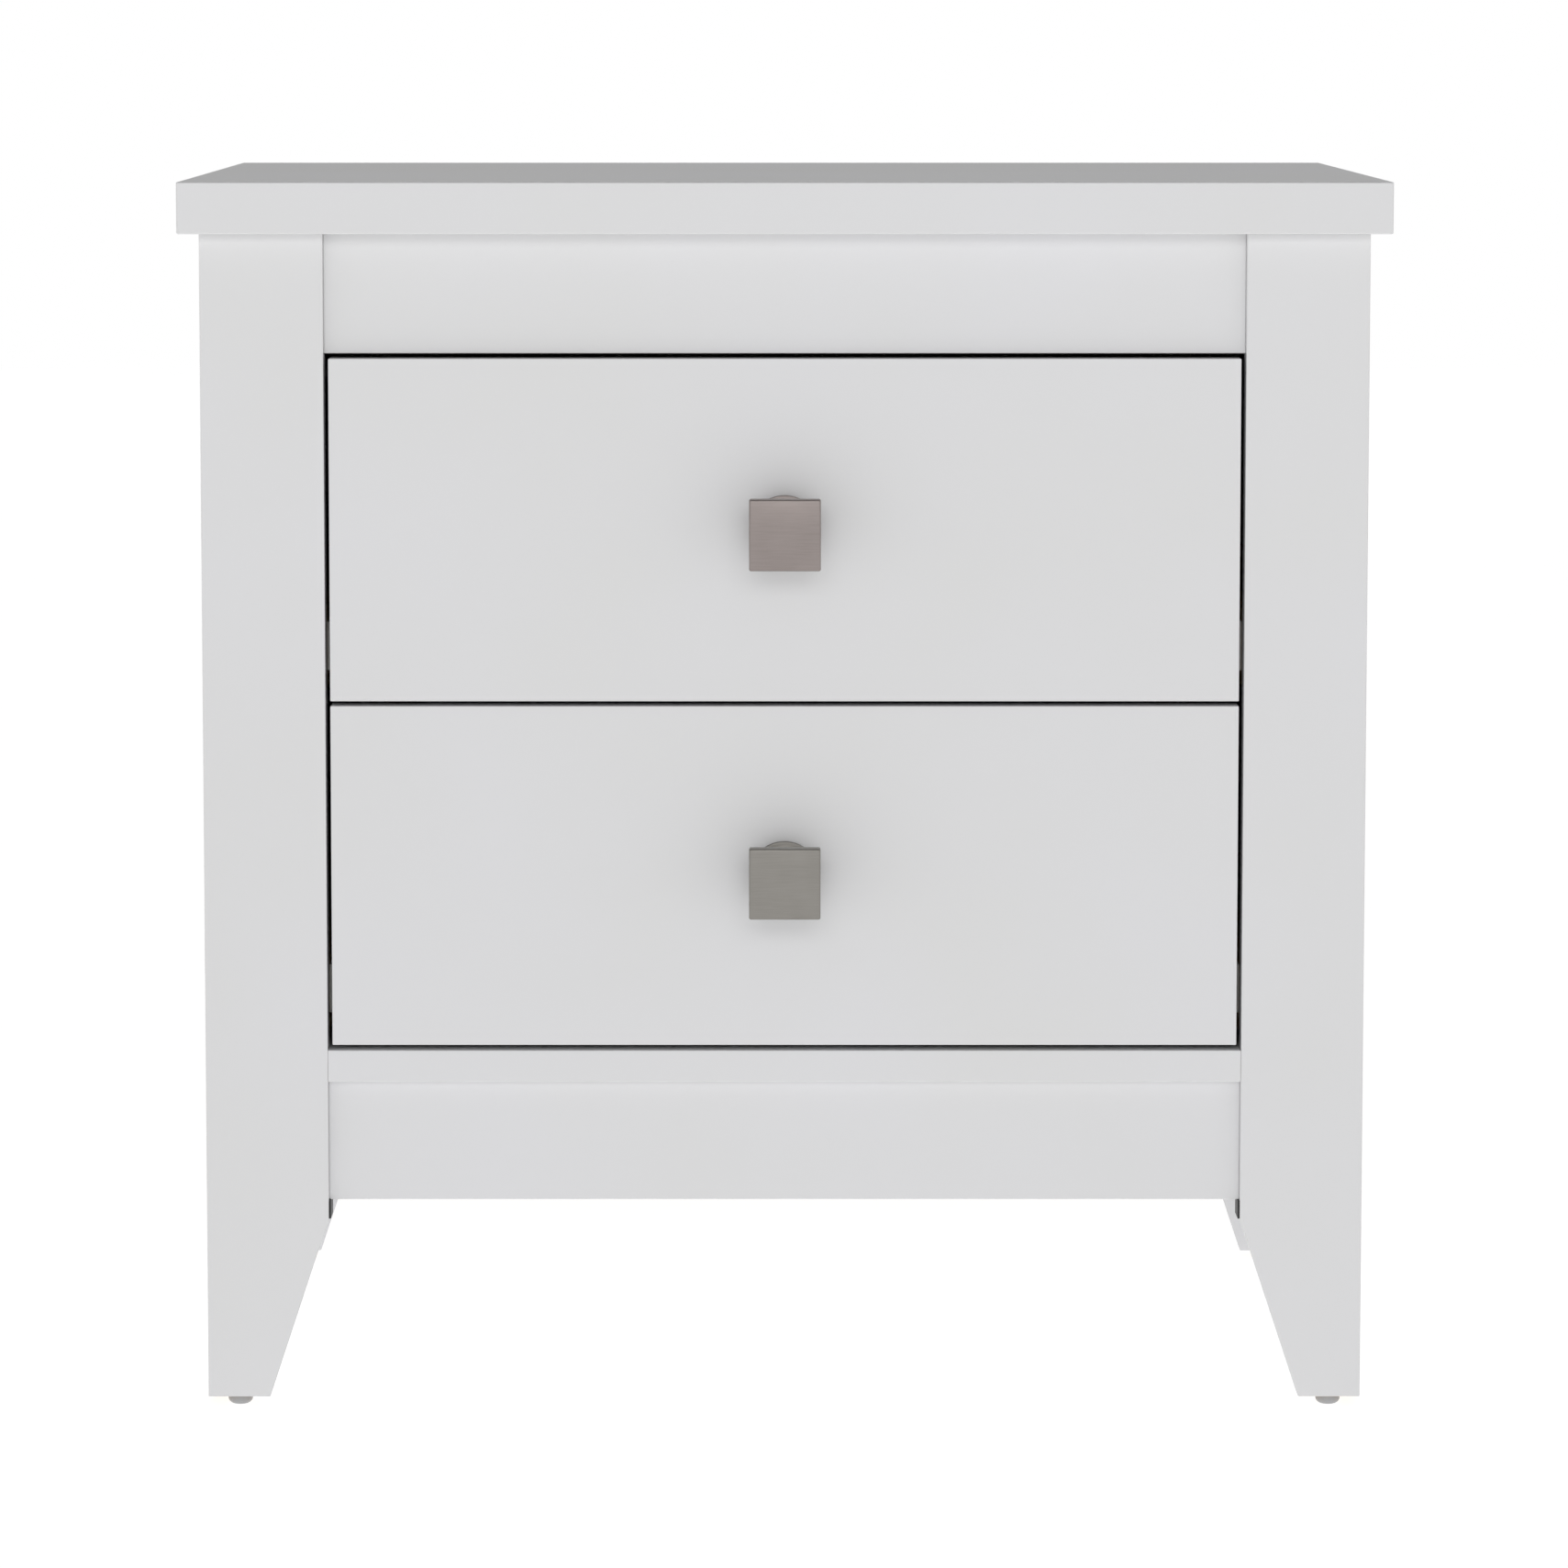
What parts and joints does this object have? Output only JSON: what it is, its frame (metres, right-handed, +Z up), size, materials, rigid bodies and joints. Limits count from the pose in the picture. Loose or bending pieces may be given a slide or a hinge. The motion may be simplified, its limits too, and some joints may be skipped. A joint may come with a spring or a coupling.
{
  "type": "nightstand",
  "caption": "White nightstand with inset drawers on roller runners, square nickel knobs, an overhanging top and tapering legs.",
  "frame": {"origin": "on the floor, at the middle of the footprint with the knobs included", "axes": "+Z up; the drawers face -Y; +X to the right of someone facing the drawers"},
  "size_m": [0.56, 0.42, 0.574],
  "materials": {
    "white_melamine": "white melamine-faced chipboard, satin",
    "hardboard": "brown hardboard, white-coated on the inner face",
    "pine": "planed pine, unfinished",
    "brushed_nickel": "brushed nickel plate on die-cast zinc",
    "screw_steel": "zinc-plated steel",
    "runner_enamel": "white epoxy powder coat on sheet steel",
    "nylon": "natural nylon, moulded",
    "glide_plastic": "light grey moulded plastic",
    "black_plastic": "black moulded plastic, satin"
  },
  "bodies": {
    "cabinet": {"top_panel": "white_melamine", "front_top_rail": "white_melamine", "rear_top_rail": "white_melamine", "front_apron": "white_melamine", "rear_apron": "white_melamine", "bottom_panel": "white_melamine", "back_panel": "hardboard", "left_side_panel": "white_melamine", "right_side_panel": "white_melamine", "front_left_leg": "white_melamine", "front_left_glide": "glide_plastic", "front_right_leg": "white_melamine", "front_right_glide": "glide_plastic", "rear_left_leg": "white_melamine", "rear_left_glide": "glide_plastic", "rear_right_leg": "white_melamine", "rear_right_glide": "glide_plastic", "left_apron_bracket": "black_plastic", "right_apron_bracket": "black_plastic", "upper_left_runner_batten": "pine", "upper_left_cabinet_runner": "runner_enamel", "upper_right_runner_batten": "pine", "upper_right_cabinet_runner": "runner_enamel", "lower_left_runner_batten": "pine", "lower_left_cabinet_runner": "runner_enamel", "lower_right_runner_batten": "pine", "lower_right_cabinet_runner": "runner_enamel"},
    "upper_drawer": {"upper_drawer_front": "white_melamine", "upper_drawer_left_side": "white_melamine", "upper_drawer_right_side": "white_melamine", "upper_drawer_back": "white_melamine", "upper_drawer_bottom": "hardboard", "upper_knob": "brushed_nickel", "upper_knob_screw": "screw_steel", "upper_left_drawer_runner": "runner_enamel", "upper_right_drawer_runner": "runner_enamel"},
    "lower_drawer": {"lower_drawer_front": "white_melamine", "lower_drawer_left_side": "white_melamine", "lower_drawer_right_side": "white_melamine", "lower_drawer_back": "white_melamine", "lower_drawer_bottom": "hardboard", "lower_knob": "brushed_nickel", "lower_knob_screw": "screw_steel", "lower_left_drawer_runner": "runner_enamel", "lower_right_drawer_runner": "runner_enamel"},
    "upper_left_front_roller": {"upper_left_front_roller": "nylon"},
    "upper_left_rear_roller": {"upper_left_rear_roller": "nylon"},
    "upper_right_front_roller": {"upper_right_front_roller": "nylon"},
    "upper_right_rear_roller": {"upper_right_rear_roller": "nylon"},
    "lower_left_front_roller": {"lower_left_front_roller": "nylon"},
    "lower_left_rear_roller": {"lower_left_rear_roller": "nylon"},
    "lower_right_front_roller": {"lower_right_front_roller": "nylon"},
    "lower_right_rear_roller": {"lower_right_rear_roller": "nylon"}
  },
  "joints": [
    {"name": "upper_drawer_slide", "type": "slide", "parent": "cabinet", "child": "upper_drawer", "axis": [0, -1, 0], "range_m": [0, 0.265]},
    {"name": "lower_drawer_slide", "type": "slide", "parent": "cabinet", "child": "lower_drawer", "axis": [0, -1, 0], "range_m": [0, 0.265]},
    {"name": "upper_left_front_roller_spin", "type": "hinge", "parent": "cabinet", "child": "upper_left_front_roller", "pos_m": [-0.20725, -0.151, 0.3595], "axis": [1, 0, 0], "continuous": true},
    {"name": "upper_left_rear_roller_spin", "type": "hinge", "parent": "upper_drawer", "child": "upper_left_rear_roller", "pos_m": [-0.207, 0.172, 0.357], "axis": [1, 0, 0], "continuous": true},
    {"name": "upper_right_front_roller_spin", "type": "hinge", "parent": "cabinet", "child": "upper_right_front_roller", "pos_m": [0.20725, -0.151, 0.3595], "axis": [1, 0, 0], "continuous": true},
    {"name": "upper_right_rear_roller_spin", "type": "hinge", "parent": "upper_drawer", "child": "upper_right_rear_roller", "pos_m": [0.207, 0.172, 0.357], "axis": [1, 0, 0], "continuous": true},
    {"name": "lower_left_front_roller_spin", "type": "hinge", "parent": "cabinet", "child": "lower_left_front_roller", "pos_m": [-0.20725, -0.151, 0.198], "axis": [1, 0, 0], "continuous": true},
    {"name": "lower_left_rear_roller_spin", "type": "hinge", "parent": "lower_drawer", "child": "lower_left_rear_roller", "pos_m": [-0.207, 0.172, 0.1955], "axis": [1, 0, 0], "continuous": true},
    {"name": "lower_right_front_roller_spin", "type": "hinge", "parent": "cabinet", "child": "lower_right_front_roller", "pos_m": [0.20725, -0.151, 0.198], "axis": [1, 0, 0], "continuous": true},
    {"name": "lower_right_rear_roller_spin", "type": "hinge", "parent": "lower_drawer", "child": "lower_right_rear_roller", "pos_m": [0.207, 0.172, 0.1955], "axis": [1, 0, 0], "continuous": true}
  ],
  "couplings": [
    {"joint": "upper_left_front_roller_spin", "follows": "upper_drawer_slide", "rad_per_m": 102.56},
    {"joint": "upper_left_rear_roller_spin", "follows": "upper_drawer_slide", "rad_per_m": 102.56},
    {"joint": "upper_right_front_roller_spin", "follows": "upper_drawer_slide", "rad_per_m": 102.56},
    {"joint": "upper_right_rear_roller_spin", "follows": "upper_drawer_slide", "rad_per_m": 102.56},
    {"joint": "lower_left_front_roller_spin", "follows": "lower_drawer_slide", "rad_per_m": 102.56},
    {"joint": "lower_left_rear_roller_spin", "follows": "lower_drawer_slide", "rad_per_m": 102.56},
    {"joint": "lower_right_front_roller_spin", "follows": "lower_drawer_slide", "rad_per_m": 102.56},
    {"joint": "lower_right_rear_roller_spin", "follows": "lower_drawer_slide", "rad_per_m": 102.56}
  ]
}
